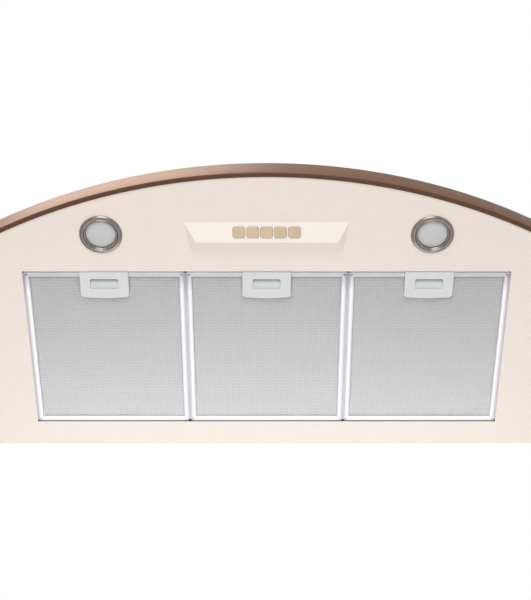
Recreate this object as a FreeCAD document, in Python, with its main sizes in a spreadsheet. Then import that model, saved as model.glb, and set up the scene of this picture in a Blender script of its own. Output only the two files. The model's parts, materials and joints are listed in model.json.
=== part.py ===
import FreeCAD, Part
import math
import os
import re
import Sketcher

# Under-cabinet range hood with a bowed front.
# +Z is up, the front faces -Y and the wall is behind at +Y. The origin lies on the top face, on the
# duct's axis and at the centre of the four cabinet screws. Lengths are in millimetres.

SIZES = {
    # whole hood
    "hood_width": 900,
    "body_height": 165,
    "plate_depth": 502.5,
    "bow_radius": 887,
    "cabinet_depth": 300,
    "duct_setback": 160,
    "skin_thick": 1.5,
    "plate_thick": 1.2,
    # rail around the front and the sides
    "rail_thick": 7.5,
    "rail_height": 31.5,
    "rail_drop": 1.5,
    "rail_gap": 0.2,
    "rail_bevel": 1.5,
    # filter opening and the three filters in it
    "opening_width": 750,
    "opening_depth": 292,
    "opening_margin": 45.5,
    "opening_lip": 6,
    "filter_pitch": 250,
    "filter_gap": 1,
    "filter_tall": 9,
    "frame_border": 9.5,
    "channel_wall": 1.2,
    "mesh_thick": 2,
    "tongue_wide": 26,
    "tongue_reach": 6,
    "tongue_place": 85,
    "channel_level": 2,
    # filter handle and its latch
    "handle_wide": 75,
    "handle_deep": 48,
    "handle_tall": 14,
    "handle_drop": 1.5,
    "handle_wall": 2,
    "handle_corner": 6,
    "handle_arch": 260,
    "slot_wide": 43,
    "slot_deep": 18.5,
    "slot_ahead": 12,
    "slot_corner": 3,
    "handle_edge": 1,
    "latch_play": 0.3,
    "latch_thick": 2.5,
    "latch_wide": 60,
    "latch_depth": 4.5,
    "nose_wide": 24,
    "tab_thick": 2.4,
    "tab_margin": 2,
    # lamps
    "lamp_place": 250,
    "lamp_ahead": 66,
    "lamp_hole": 25,
    "ring_radius": 32.5,
    "lens_radius": 22.3,
    "ring_drop": 3.6,
    "ring_sleeve": 8,
    "can_radius": 29,
    "can_tall": 30,
    "can_wall": 1,
    "socket_radius": 9,
    "socket_tall": 6,
    "bulb_radius": 4.75,
    "bulb_level": 6,
    # control housing and push buttons
    "control_wide": 249,
    "control_depth": 46.7,
    "control_drop": 12,
    "control_ahead": 87.7,
    "ridge_wide": 214,
    "ridge_back": 29,
    "control_wall": 2,
    "button_wide": 18.3,
    "button_deep": 16.9,
    "button_corner": 4,
    "button_pitch": 20.9,
    "button_proud": 1.8,
    "button_play": 0.3,
    "button_edge": 0.8,
    "button_skirt": 5,
    "stem_wide": 6,
    "stem_reach": 13,
    "well_wide": 6.8,
    "bank_wide": 124,
    "bank_deep": 17,
    "bank_front": 9,
    "bank_back": 20,
    "post_place": 58,
    "post_radius": 3,
    "control_hole_wide": 136,
    # blower
    "scroll_start": 52,
    "scroll_growth": 7,
    "scroll_half": 62,
    "scroll_centre_y": 33,
    "scroll_centre_z": -78,
    "inlet_radius": 36,
    "flange_reach": 14,
    "flange_long": 68,
    "flange_screw_reach": 9,
    "flange_screw_pitch": 52,
    "wheel_radius": 44,
    "wheel_half": 54,
    "wheel_ring": 2,
    "blade_inner": 36,
    "blade_count": 30,
    "boss_radius": 9,
    "boss_long": 20,
    "shaft_radius": 4,
    "shaft_start": -14,
    "shaft_long": 142,
    "shaft_play": 0.06,
    "motor_radius": 34,
    "motor_start": 72,
    "motor_end": 122,
    "motor_edge": 4,
    "bearing_radius": 11,
    "bearing_long": 4,
    "bracket_thick": 3,
    "bracket_start": 10,
    "bracket_wide": 16,
    "leg_wide": 12,
    "leg_radius": 43,
    # duct collar and its damper
    "collar_radius": 74,
    "collar_wall": 1.2,
    "collar_tall": 45,
    "collar_flange": 90,
    "flange_thick": 1.5,
    "ledge_wide": 3.4,
    "ledge_level": 12,
    "rod_radius": 1.5,
    "rod_level": 16.5,
    "knuckle_radius": 3,
    "knuckle_long": 14,
    "knuckle_front": 20,
    "knuckle_rear": 42,
    "flap_thick": 1.2,
    "flap_play": 1.3,
    # holes for the fasteners of the house
    "screw_spacing_x": 700,
    "screw_spacing_y": 200,
    "mount_hole": 3.25,
    "wall_spacing": 600,
    "wall_hole_drop": 60,
    # pan-head screws of the collar and the blower
    "screw_radius": 1.7,
    "screw_play": 0.2,
    "screw_reach": 4,
    "screw_head": 3.5,
    "screw_head_tall": 2.2,
    "collar_screw_ring": 83.5,
    # electrics
    "box_wide": 90,
    "box_deep": 70,
    "box_tall": 45,
    "box_place_x": 190,
    "box_place_y": 70,
    "box_wall": 1.2,
    "terminal_wide": 22,
    "terminal_deep": 54,
    "terminal_tall": 16,
    "gland_radius": 9.9,
    "gland_bore": 5.5,
    "gland_rim": 14,
    "transformer_wide": 90,
    "transformer_deep": 46,
    "transformer_tall": 30,
    "capacitor_radius": 16,
    "capacitor_long": 58,
    "lead_radius": 2.2,
    "side_run": 434,
    "clip_wide": 10.9,
    "clip_long": 10,
}

# Levels and places that follow from the driving sizes.
BACK = "duct_setback"
TOP_FRONT = "(duct_setback - cabinet_depth)"
PLATE_LOW = "(-body_height)"
PLATE_TOP = "(plate_thick - body_height)"
RAIL_LOW = "(-body_height - rail_drop)"
RAIL_TOP = "(rail_height - rail_drop - body_height)"
HALF = "(hood_width / 2 - rail_thick)"
BOW_CENTRE = "(duct_setback - plate_depth + bow_radius)"
OPENING_REAR = "(duct_setback - opening_margin)"
OPENING_FRONT = "(duct_setback - opening_margin - opening_depth)"
FILTER_FRONT = f"({OPENING_FRONT} + filter_gap)"
FILTER_REAR = f"({OPENING_REAR} - filter_gap / 2)"
HANDLE_FRONT = f"({FILTER_FRONT} + 0.4)"
HANDLE_LOW = "(-body_height - handle_drop)"
HANDLE_TOP = "(handle_tall - handle_drop - body_height)"
LAMP_Y = f"({OPENING_FRONT} - lamp_ahead)"
CONTROL_FRONT = f"({OPENING_FRONT} - control_ahead)"
FACE = "sqrt(ridge_back^2 + control_drop^2)"
SIDES = {"left": -1, "right": 1}
FILTERS = {"left": -1, "centre": 0, "right": 1}

V = FreeCAD.Vector
doc = FreeCAD.newDocument("RangeHood")
sheet = doc.addObject("Spreadsheet::Sheet", "Sizes")
for row, (alias, size) in enumerate(SIZES.items(), start=1):
    sheet.set(f"A{row}", alias)
    sheet.set(f"B{row}", str(size))
    sheet.setAlias(f"B{row}", alias)
doc.recompute()
nodes = []


# ---------------------------------------------------------------- helpers
def bound(formula):
    """The formula with every size name pointing at the sheet."""
    def cell(word):
        return f"Sizes.{word[0]}" if word[0] in SIZES else word[0]
    return re.sub(r"[a-z]+(?:_[a-z]+)+", cell, str(formula))


def number(formula):
    """The formula's present value."""
    result = sheet.evalExpression(bound(formula))
    return float(getattr(result, "Value", result))


def node(thing):
    """Marks a finished object as a sub-part that gets its own file."""
    nodes.append(thing)
    return thing


def place(thing, x="0", y="0", z="0", axis=V(0, 0, 1), angle=0.0):
    """Puts an object at a place given by formulas, turned about an axis."""
    thing.Placement = FreeCAD.Placement(V(number(x), number(y), number(z)), FreeCAD.Rotation(axis, angle))
    for letter, formula in zip("xyz", (x, y, z)):
        thing.setExpression(f"Placement.Base.{letter}", bound(formula))
    return thing


def new_body(label):
    body = doc.addObject("PartDesign::Body", label)
    body.Label = label
    return body


def new_sketch(body, plane="XY", level="0"):
    """A sketch on one of the body's own origin planes, moved along the plane's normal."""
    sketch = body.newObject("Sketcher::SketchObject", "Sketch")
    support = [item for item in body.Origin.OriginFeatures if item.Role == f"{plane}_Plane"]
    sketch.AttachmentSupport = [(support[0], "")]
    sketch.MapMode = "FlatFace"
    sketch.setExpression("AttachmentOffset.Base.z", bound(level))
    return sketch


def fix(sketch, kind, *items):
    """Adds a constraint whose last item is a formula, and binds it to the sheet."""
    index = sketch.addConstraint(Sketcher.Constraint(kind, *items[:-1], number(items[-1])))
    sketch.setExpression(f"Constraints[{index}]", bound(items[-1]))


def arc_between(start, end, radius, turn):
    """The short arc from start to end; turn is 1 for a left-hand bend and -1 for a right-hand one."""
    chord = end - start
    rise = math.sqrt(radius**2 - (chord.Length / 2) ** 2)
    left = V(-chord.y, chord.x, 0).normalize()
    centre = start + chord * 0.5 + left * rise * turn
    first, last = (start, end) if turn > 0 else (end, start)
    first_angle = math.atan2(first.y - centre.y, first.x - centre.x)
    last_angle = math.atan2(last.y - centre.y, last.x - centre.x)
    if last_angle < first_angle:
        last_angle += 2 * math.pi
    return Part.ArcOfCircle(Part.Circle(centre, V(0, 0, 1), radius), first_angle, last_angle)


def outline(sketch, points, arcs=None):
    """A closed outline; arcs maps an edge's index to its radius formula and its turn."""
    arcs = arcs or {}
    corners = [V(number(x), number(y), 0) for x, y in points]
    ends = []
    for index, start in enumerate(corners):
        end = corners[(index + 1) % len(corners)]
        if index in arcs:
            radius, turn = arcs[index]
            edge = sketch.addGeometry(arc_between(start, end, number(radius), turn))
            fix(sketch, "Radius", edge, radius)
            ends.append((edge, 1, 2) if turn > 0 else (edge, 2, 1))
        else:
            edge = sketch.addGeometry(Part.LineSegment(start, end))
            ends.append((edge, 1, 2))
    for index, (x, y) in enumerate(points):
        edge, begin, _ = ends[index]
        before, _, finish = ends[index - 1]
        sketch.addConstraint(Sketcher.Constraint("Coincident", before, finish, edge, begin))
        fix(sketch, "DistanceX", -1, 1, edge, begin, x)
        fix(sketch, "DistanceY", -1, 1, edge, begin, y)


def rectangle(sketch, left, low, right, high):
    outline(sketch, [(left, low), (right, low), (right, high), (left, high)])


def rounded(sketch, left, low, right, high, corner):
    """A rectangle with four equal round corners."""
    points = [
        (f"({left}) + {corner}", low), (f"({right}) - {corner}", low),
        (right, f"({low}) + {corner}"), (right, f"({high}) - {corner}"),
        (f"({right}) - {corner}", high), (f"({left}) + {corner}", high),
        (left, f"({high}) - {corner}"), (left, f"({low}) + {corner}"),
    ]
    outline(sketch, points, {index: (corner, 1) for index in (1, 3, 5, 7)})


def circle(sketch, x, y, radius):
    edge = sketch.addGeometry(Part.Circle(V(number(x), number(y), 0), V(0, 0, 1), number(radius)))
    fix(sketch, "DistanceX", -1, 1, edge, 3, x)
    fix(sketch, "DistanceY", -1, 1, edge, 3, y)
    fix(sketch, "Radius", edge, radius)


def grow(body, kind, sketch, length, both_ways=False, backwards=False):
    """A Pad or a Pocket of a sketch. A pocket has to remove something."""
    before = body.Shape.Volume if kind == "Pocket" else 0
    feature = body.newObject(f"PartDesign::{kind}", kind)
    feature.Profile = sketch
    feature.setExpression("Length", bound(length))
    feature.SideType = "Symmetric" if both_ways else "One side"
    feature.Reversed = backwards
    doc.recompute()
    if kind == "Pocket" and body.Shape.Volume > before - 1e-3:
        raise RuntimeError(f"{body.Label}: a pocket cuts nothing")
    return feature


def loft(body, kind, first, second):
    feature = body.newObject(f"PartDesign::{kind}Loft", "Loft")
    feature.Profile = first
    feature.Sections = [second]
    feature.Ruled = True
    doc.recompute()
    return feature


def turned(label, points, arcs=None):
    """A body of revolution about its own Z axis, from an outline of (radius, level) points."""
    body = new_body(label)
    sketch = new_sketch(body, "XZ")
    outline(sketch, points, arcs)
    feature = body.newObject("PartDesign::Revolution", "Revolution")
    feature.Profile = sketch
    feature.ReferenceAxis = (sketch, ["V_Axis"])
    feature.Angle = 360
    doc.recompute()
    return body


def wanted_edges(body, wanted):
    """The edges that wanted(edge) picks on the body's last feature."""
    base = body.Tip
    return (base, [f"Edge{i}" for i, edge in enumerate(base.Shape.Edges, start=1) if wanted(edge)])


def round_edges(body, radius, wanted):
    picked = wanted_edges(body, wanted)
    fillet = body.newObject("PartDesign::Fillet", "Fillet")
    fillet.Base = picked
    fillet.setExpression("Radius", bound(radius))
    doc.recompute()


def bevel_edges(body, size, wanted):
    picked = wanted_edges(body, wanted)
    chamfer = body.newObject("PartDesign::Chamfer", "Chamfer")
    chamfer.Base = picked
    chamfer.setExpression("Size", bound(size))
    doc.recompute()


def polar(body, feature, count):
    """Repeats a feature around the body's X axis."""
    pattern = body.newObject("PartDesign::PolarPattern", "PolarPattern")
    pattern.Originals = [feature]
    axis = [item for item in body.Origin.OriginFeatures if item.Role == "X_Axis"]
    pattern.Axis = (axis[0], [""])
    pattern.Angle = 360
    pattern.Occurrences = count
    body.Tip = pattern
    doc.recompute()


def box(label, low, size):
    """A block from its low corner and its three sizes, all formulas."""
    block = doc.addObject("Part::Box", label)
    for name, formula in zip(("Length", "Width", "Height"), size):
        block.setExpression(name, bound(formula))
    return place(block, *low)


def rod(label, start, radius, length, axis=V(0, 0, 1)):
    """A round bar from start along an axis."""
    bar = doc.addObject("Part::Cylinder", label)
    bar.setExpression("Radius", bound(radius))
    bar.setExpression("Height", bound(length))
    turn = FreeCAD.Rotation(V(0, 0, 1), axis)
    place(bar, *start)
    bar.Placement.Rotation = turn
    return bar


def cut(label, base, *tools):
    result = base
    for tool in tools:
        step = doc.addObject("Part::Cut", f"{label}_step")
        step.Base = result
        step.Tool = tool
        result = step
    result.Label = label
    return result


def joined(label, *things):
    result = doc.addObject("Part::MultiFuse", label)
    result.Shapes = list(things)
    return result


def group(label, things):
    """Identical pieces kept as separate solids in one sub-part."""
    result = doc.addObject("Part::Compound", label)
    result.Links = list(things)
    return result


# ---------------------------------------------------------------- body shells
def bow_end(radius, half):
    """The level in Y where an arc about the bow's centre reaches x = half."""
    return f"({BOW_CENTRE} - sqrt(({radius})^2 - ({half})^2))"


def plan(sketch, radius, half):
    """The hood's outline from above: back, two sides and the bow."""
    corner = bow_end(radius, half)
    points = [(f"-{half}", BACK), (f"-{half}", corner), (half, corner), (half, BACK)]
    outline(sketch, points, {1: (radius, 1)})


def top_plan(sketch, half, front):
    rectangle(sketch, f"-{half}", front, half, BACK)


def canopy():
    """One skirt with the sloping front above it, open at the back, the top and the bottom."""
    body = new_body("canopy")
    inner_radius = "(bow_radius - skin_thick)"
    inner_half = f"({HALF} - skin_thick)"
    skirt = new_sketch(body, "XY", PLATE_TOP)
    plan(skirt, "bow_radius", HALF)
    grow(body, "Pad", skirt, f"{RAIL_TOP} - {PLATE_TOP}")
    outer = new_sketch(body, "XY", RAIL_TOP)
    plan(outer, "bow_radius", HALF)
    crown = new_sketch(body, "XY", "0")
    top_plan(crown, HALF, TOP_FRONT)
    loft(body, "Additive", outer, crown)
    hollow = new_sketch(body, "XY", PLATE_TOP)
    plan(hollow, inner_radius, inner_half)
    grow(body, "Pocket", hollow, f"{RAIL_TOP} - {PLATE_TOP}", backwards=True)
    inner = new_sketch(body, "XY", RAIL_TOP)
    plan(inner, inner_radius, inner_half)
    inner_crown = new_sketch(body, "XY", "0")
    top_plan(inner_crown, inner_half, f"({TOP_FRONT} + skin_thick)")
    loft(body, "Subtractive", inner, inner_crown)
    return node(body)


def collar_screw_spots():
    """The places of the four screws around the duct collar."""
    spots = []
    for index in range(4):
        angle = math.radians(45 + 90 * index)
        spots.append((f"collar_screw_ring * {math.cos(angle):.6f}",
                      f"collar_screw_ring * {math.sin(angle):.6f}"))
    return spots


def flange_screw_spots(side):
    """The places of the two screws in the blower's top flange on one side."""
    return [(f"{side} * (scroll_half + flange_screw_reach)", f"{along} * flange_screw_pitch / 2")
            for along in (-1, 1)]


def screw_holes(sketch, spots):
    for x, y in spots:
        circle(sketch, x, y, "screw_radius + screw_play")


def top_plate():
    """Flat top with the duct's hole, the cabinet screw holes and the cable hole."""
    body = new_body("top_plate")
    sketch = new_sketch(body, "XY", "-skin_thick")
    side = f"({HALF} - skin_thick - 0.3)"
    rectangle(sketch, f"-{side}", f"{TOP_FRONT} + skin_thick + 2.6", side, BACK)
    circle(sketch, "0", "0", "collar_radius - collar_wall - 0.4")
    for across in (-1, 1):
        for along in (-1, 1):
            spot_x = f"{across} * screw_spacing_x / 2"
            spot_y = f"{along} * screw_spacing_y / 2"
            circle(sketch, spot_x, spot_y, "mount_hole")
    circle(sketch, "box_place_x + box_wide / 2", "box_place_y + box_deep / 2", "gland_radius + 0.1")
    screw_holes(sketch, collar_screw_spots())
    for side in SIDES.values():
        screw_holes(sketch, flange_screw_spots(side))
    grow(body, "Pad", sketch, "skin_thick")
    return node(body)


def back_panel():
    """Upright sheet against the wall, with two wall screw holes."""
    body = new_body("back_panel")
    sketch = new_sketch(body, "XZ", f"-{BACK}")
    side = f"({HALF} - skin_thick - 0.3)"
    rectangle(sketch, f"-{side}", PLATE_TOP, side, "-skin_thick")
    for across in (-1, 1):
        circle(sketch, f"{across} * wall_spacing / 2", "-wall_hole_drop", "mount_hole")
    grow(body, "Pad", sketch, "skin_thick")
    return node(body)


def underside_panel():
    """Flat plate under the whole hood, open for the filters, the lamps and the switches.

    The filter opening's front and sides have an upturned stiffening edge.
    """
    body = new_body("underside_panel")
    sketch = new_sketch(body, "XY", PLATE_LOW)
    plan(sketch, "bow_radius", HALF)
    rectangle(sketch, "-opening_width / 2", OPENING_FRONT, "opening_width / 2", OPENING_REAR)
    for side in SIDES.values():
        circle(sketch, f"{side} * lamp_place", LAMP_Y, "lamp_hole")
    rectangle(sketch, "-control_hole_wide / 2", f"{CONTROL_FRONT} + 5", "control_hole_wide / 2",
              f"{CONTROL_FRONT} + control_depth - 7")
    grow(body, "Pad", sketch, "plate_thick")
    edge = new_sketch(body, "XY", f"{PLATE_TOP} - 0.2")
    outside = "(opening_width / 2 + plate_thick)"
    front = f"({OPENING_FRONT} - plate_thick)"
    points = [
        (f"-{outside}", OPENING_REAR), (f"-{outside}", front), (outside, front),
        (outside, OPENING_REAR), ("opening_width / 2", OPENING_REAR), ("opening_width / 2", OPENING_FRONT),
        ("-opening_width / 2", OPENING_FRONT), ("-opening_width / 2", OPENING_REAR),
    ]
    outline(edge, points)
    grow(body, "Pad", edge, "opening_lip")
    return node(body)


def front_rail(inner_radius, inner_half, outer_radius, outer_half):
    """The bowed piece, turned about the bow's own axis and then mitred at both ends."""
    body = new_body("front_rail")
    profile = new_sketch(body, "YZ")
    points = [
        (f"-{inner_radius}", RAIL_LOW), (f"-{inner_radius}", f"{RAIL_LOW} + rail_height"),
        (f"-{outer_radius} + rail_bevel", f"{RAIL_LOW} + rail_height"),
        (f"-{outer_radius}", f"{RAIL_LOW} + rail_height - rail_bevel"),
        (f"-{outer_radius}", f"{RAIL_LOW} + rail_bevel"), (f"-{outer_radius} + rail_bevel", RAIL_LOW),
    ]
    outline(profile, points)
    bow = body.newObject("PartDesign::Revolution", "Revolution")
    bow.Profile = profile
    bow.ReferenceAxis = (profile, ["V_Axis"])
    bow.Angle = 64
    bow.Midplane = True
    doc.recompute()
    inner_y = f"(-sqrt({inner_radius}^2 - {inner_half}^2))"
    outer_y = f"(-sqrt({outer_radius}^2 - {outer_half}^2))"
    mitres = new_sketch(body, "XY", f"{RAIL_LOW} - 1")
    for side in SIDES.values():
        inside = (f"{side} * (2 * {inner_half} - {outer_half})", f"2 * {inner_y} - {outer_y}")
        outside = (f"{side} * (2 * {outer_half} - {inner_half})", f"2 * {outer_y} - {inner_y}")
        outline(mitres, [inside, outside, (f"{side} * ({outer_half} + 60)", outside[1]),
                         (f"{side} * ({outer_half} + 60)", f"{inside[1]} + 60"),
                         (inside[0], f"{inside[1]} + 60")])
    grow(body, "Pocket", mitres, "rail_height + 2", backwards=True)
    return place(body, "0", BOW_CENTRE, "0")


def rails():
    """Bronze-coloured strip: a bowed front piece and a straight piece on each side, mitred."""
    inner_half = f"({HALF} + rail_gap)"
    outer_half = "(hood_width / 2)"
    inner_radius = "(bow_radius + rail_gap)"
    outer_radius = "(bow_radius + rail_thick)"
    inner_end = bow_end(inner_radius, inner_half)
    outer_end = bow_end(outer_radius, outer_half)
    node(front_rail(inner_radius, inner_half, outer_radius, outer_half))
    for name, side in SIDES.items():
        body = new_body(f"side_rail_{name}")
        sketch = new_sketch(body, "XY", RAIL_LOW)
        points = [(f"{side} * {inner_half}", inner_end), (f"{side} * {outer_half}", outer_end),
                  (f"{side} * {outer_half}", BACK), (f"{side} * {inner_half}", BACK)]
        outline(sketch, points)
        grow(body, "Pad", sketch, "rail_height")
        edge_x = number(outer_half)
        bevel_edges(body, "rail_bevel", lambda edge: abs(abs(edge.CenterOfMass.x) - edge_x) < 0.01
                    and edge.Length > 300)
        node(body)


# ---------------------------------------------------------------- filters
def filter_parts(name, step):
    """A frame with its mesh, and the handle with the latch that slides in it."""
    middle = f"({step} * filter_pitch)"
    left = f"({middle} - filter_pitch / 2 + filter_gap / 2)"
    right = f"({middle} + filter_pitch / 2 - filter_gap / 2)"
    notch_left = f"({middle} - handle_wide / 2 - latch_play)"
    notch_right = f"({middle} + handle_wide / 2 + latch_play)"
    notch_rear = f"({HANDLE_FRONT} + handle_deep + 2.2)"

    frame = new_body(f"filter_frame_{name}")
    sketch = new_sketch(frame, "XY", PLATE_LOW)
    points = [
        (left, FILTER_FRONT), (notch_left, FILTER_FRONT),
        (notch_left, f"{FILTER_FRONT} + frame_border"),
        (f"{left} + frame_border", f"{FILTER_FRONT} + frame_border"),
        (f"{left} + frame_border", f"{FILTER_REAR} - frame_border"),
        (f"{right} - frame_border", f"{FILTER_REAR} - frame_border"),
        (f"{right} - frame_border", f"{FILTER_FRONT} + frame_border"),
        (notch_right, f"{FILTER_FRONT} + frame_border"), (notch_right, FILTER_FRONT),
        (right, FILTER_FRONT), (right, FILTER_REAR), (left, FILTER_REAR),
    ]
    outline(sketch, points)
    grow(frame, "Pad", sketch, "filter_tall")
    channel = new_sketch(frame, "XY", f"{PLATE_LOW} + channel_level")
    rectangle(channel, f"{left} + channel_wall", f"{FILTER_FRONT} + channel_wall",
              f"{right} - channel_wall", f"{FILTER_REAR} - channel_wall")
    grow(frame, "Pocket", channel, "filter_tall - 2 * channel_level", backwards=True)
    tongues = new_sketch(frame, "XY", f"{PLATE_TOP} + 0.3")
    for side in SIDES.values():
        place_x = f"({middle} + {side} * tongue_place)"
        rectangle(tongues, f"{place_x} - tongue_wide / 2", f"{FILTER_REAR} - channel_wall",
                  f"{place_x} + tongue_wide / 2", f"{FILTER_REAR} + tongue_reach")
    grow(frame, "Pad", tongues, "channel_wall")
    node(frame)

    mesh = new_body(f"filter_mesh_{name}")
    sketch = new_sketch(mesh, "XY", f"{PLATE_LOW} + filter_tall - channel_level - mesh_thick")
    border = "(channel_wall + 0.3)"
    points = [
        (f"{left} + {border}", f"{FILTER_FRONT} + {border}"),
        (f"{notch_left} - 0.5", f"{FILTER_FRONT} + {border}"), (f"{notch_left} - 0.5", notch_rear),
        (f"{notch_right} + 0.5", notch_rear), (f"{notch_right} + 0.5", f"{FILTER_FRONT} + {border}"),
        (f"{right} - {border}", f"{FILTER_FRONT} + {border}"),
        (f"{right} - {border}", f"{FILTER_REAR} - {border}"),
        (f"{left} + {border}", f"{FILTER_REAR} - {border}"),
    ]
    outline(sketch, points)
    grow(mesh, "Pad", sketch, "mesh_thick")
    node(mesh)

    node(handle(name, middle))
    node(latch(name, middle))


def handle(name, middle):
    """Moulded cup with a finger slot in its face and an arched rear edge."""
    body = new_body(f"filter_handle_{name}")
    sketch = new_sketch(body, "XY", HANDLE_LOW)
    left = f"({middle} - handle_wide / 2)"
    right = f"({middle} + handle_wide / 2)"
    rear = f"({HANDLE_FRONT} + handle_deep - 2.7)"
    points = [(left, HANDLE_FRONT), (right, HANDLE_FRONT), (right, f"{rear} - handle_corner"),
              (f"{right} - handle_corner", rear), (f"{left} + handle_corner", rear),
              (left, f"{rear} - handle_corner")]
    arcs = {2: ("handle_corner", 1), 3: ("handle_arch", 1), 4: ("handle_corner", 1)}
    outline(sketch, points, arcs)
    grow(body, "Pad", sketch, "handle_tall")
    face = number(HANDLE_LOW)
    round_edges(body, "handle_edge", lambda edge: abs(edge.BoundBox.ZMax - face) < 0.01
                and edge.CenterOfMass.y > number(HANDLE_FRONT) + 1)
    cavity = new_sketch(body, "XY", f"{HANDLE_LOW} + handle_wall")
    rectangle(cavity, f"{left} + handle_wall", f"{HANDLE_FRONT} + handle_wall",
              f"{right} - handle_wall", f"{rear} - handle_wall")
    grow(body, "Pocket", cavity, "handle_tall", backwards=True)
    slot = new_sketch(body, "XY", HANDLE_LOW)
    rounded(slot, f"{middle} - slot_wide / 2", f"{HANDLE_FRONT} + slot_ahead",
            f"{middle} + slot_wide / 2", f"{HANDLE_FRONT} + slot_ahead + slot_deep", "slot_corner")
    grow(body, "Pocket", slot, "handle_wall", backwards=True)
    window = new_sketch(body, "XZ", f"-{HANDLE_FRONT}")
    rectangle(window, f"{middle} - nose_wide / 2 - latch_play", f"{HANDLE_TOP} - latch_depth - 0.5",
              f"{middle} + nose_wide / 2 + latch_play", HANDLE_TOP)
    grow(body, "Pocket", window, "handle_wall")
    return body


def latch(name, middle):
    """Slider above the finger slot, with a nose at the front and a tab that the finger pulls back."""
    body = new_body(f"filter_latch_{name}")
    tab_front = f"({HANDLE_FRONT} + slot_ahead + slot_deep)"
    tab_rear = f"({tab_front} + tab_thick)"
    level = f"({HANDLE_TOP} - latch_depth)"
    plate = new_sketch(body, "XY", level)
    rectangle(plate, f"{middle} - latch_wide / 2", f"{HANDLE_FRONT} + handle_wall + latch_play",
              f"{middle} + latch_wide / 2", tab_rear)
    grow(body, "Pad", plate, "latch_thick")
    nose = new_sketch(body, "XY", level)
    rectangle(nose, f"{middle} - nose_wide / 2", f"{FILTER_FRONT} - filter_gap + latch_play",
              f"{middle} + nose_wide / 2", f"{HANDLE_FRONT} + handle_wall + 1")
    grow(body, "Pad", nose, "latch_thick")
    low = f"({HANDLE_LOW} + handle_wall + latch_play)"
    tab = new_sketch(body, "XY", low)
    rectangle(tab, f"{middle} - slot_wide / 2 - tab_margin", tab_front,
              f"{middle} + slot_wide / 2 + tab_margin", tab_rear)
    grow(body, "Pad", tab, f"{level} + 1.5 - {low}")
    return body


# ---------------------------------------------------------------- lamps
def lamp(name, side):
    """Bezel ring, frosted lens, can, socket and capsule bulb, all turned about the lamp's axis."""
    spot = (f"{side} * lamp_place", LAMP_Y, PLATE_LOW)
    sleeve = "(lens_radius + 0.3)"
    neck = "(lamp_hole - 0.4)"
    ring = turned(f"lamp_ring_{name}", [
        (sleeve, "ring_sleeve"), (sleeve, "1.7 - ring_drop"), (f"{sleeve} + 3.4", "-ring_drop"),
        ("ring_radius - 2", "0.7 - ring_drop"), ("ring_radius", "2.5 - ring_drop"), ("ring_radius", "0"),
        (neck, "0"), (neck, "ring_sleeve")])
    lens = turned(f"lamp_lens_{name}", [
        ("0", "-1.6"), ("lens_radius * 0.63", "-1.2"), ("lens_radius", "0.6"), ("lens_radius", "2.4"),
        ("0", "2.4")])
    roof = "(can_tall - can_wall)"
    can = turned(f"lamp_can_{name}", [
        ("lamp_hole + 0.5", "plate_thick"), ("can_radius", "plate_thick"), ("can_radius", "can_tall"),
        ("0", "can_tall"), ("0", roof), ("can_radius - can_wall", roof),
        ("can_radius - can_wall", "plate_thick + can_wall"), ("lamp_hole + 0.5", "plate_thick + can_wall")])
    base = f"({roof} - socket_tall)"
    socket = turned(f"lamp_socket_{name}", [("0", base), ("socket_radius", base), ("socket_radius", roof),
                                            ("0", roof)])
    bulb = turned(f"lamp_bulb_{name}", [
        ("0", "bulb_level"), ("bulb_radius * 0.63", "bulb_level + 1"), ("bulb_radius", "bulb_level + 4"),
        ("bulb_radius", base), ("0", base)])
    for piece in (ring, lens, can, socket, bulb):
        node(place(piece, *spot))


# ---------------------------------------------------------------- controls
def wedge(label, wall):
    """A hipped wedge under the plate: its ridge runs across and lies nearer the rear.

    The factors on wall shift each sloping face inwards by about one wall.
    """
    block = doc.addObject("Part::Wedge", label)
    formulas = {
        "Xmin": f"-control_wide / 2 + {wall} * 1.75", "Xmax": f"control_wide / 2 - {wall} * 1.75",
        "X2min": f"-ridge_wide / 2 + {wall}", "X2max": f"ridge_wide / 2 - {wall}",
        "Ymin": "0", "Ymax": f"control_drop - {wall} * 1.15",
        "Zmin": f"{wall} * 2.6", "Zmax": f"control_depth - {wall} * 1.8",
        "Z2min": "ridge_back", "Z2max": "ridge_back",
    }
    for name, formula in formulas.items():
        setattr(block, name, number(formula))
        block.setExpression(name, bound(formula))
    return place(block, "0", CONTROL_FRONT, PLATE_LOW, V(1, 0, 0), -90)


def on_face(thing, across="0", depth="0"):
    """Puts a piece in the middle of the sloping face, depth below it, with its own +Z pointing out."""
    tilt = math.degrees(math.atan2(number("control_drop"), number("ridge_back")))
    y = f"{CONTROL_FRONT} + ridge_back / 2 + ({depth}) * control_drop / {FACE}"
    z = f"{PLATE_LOW} - control_drop / 2 + ({depth}) * ridge_back / {FACE}"
    return place(thing, across, y, z, V(1, 0, 0), 180 - tilt)


def button_place(index):
    return f"({index - 2} * button_pitch)"


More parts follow.
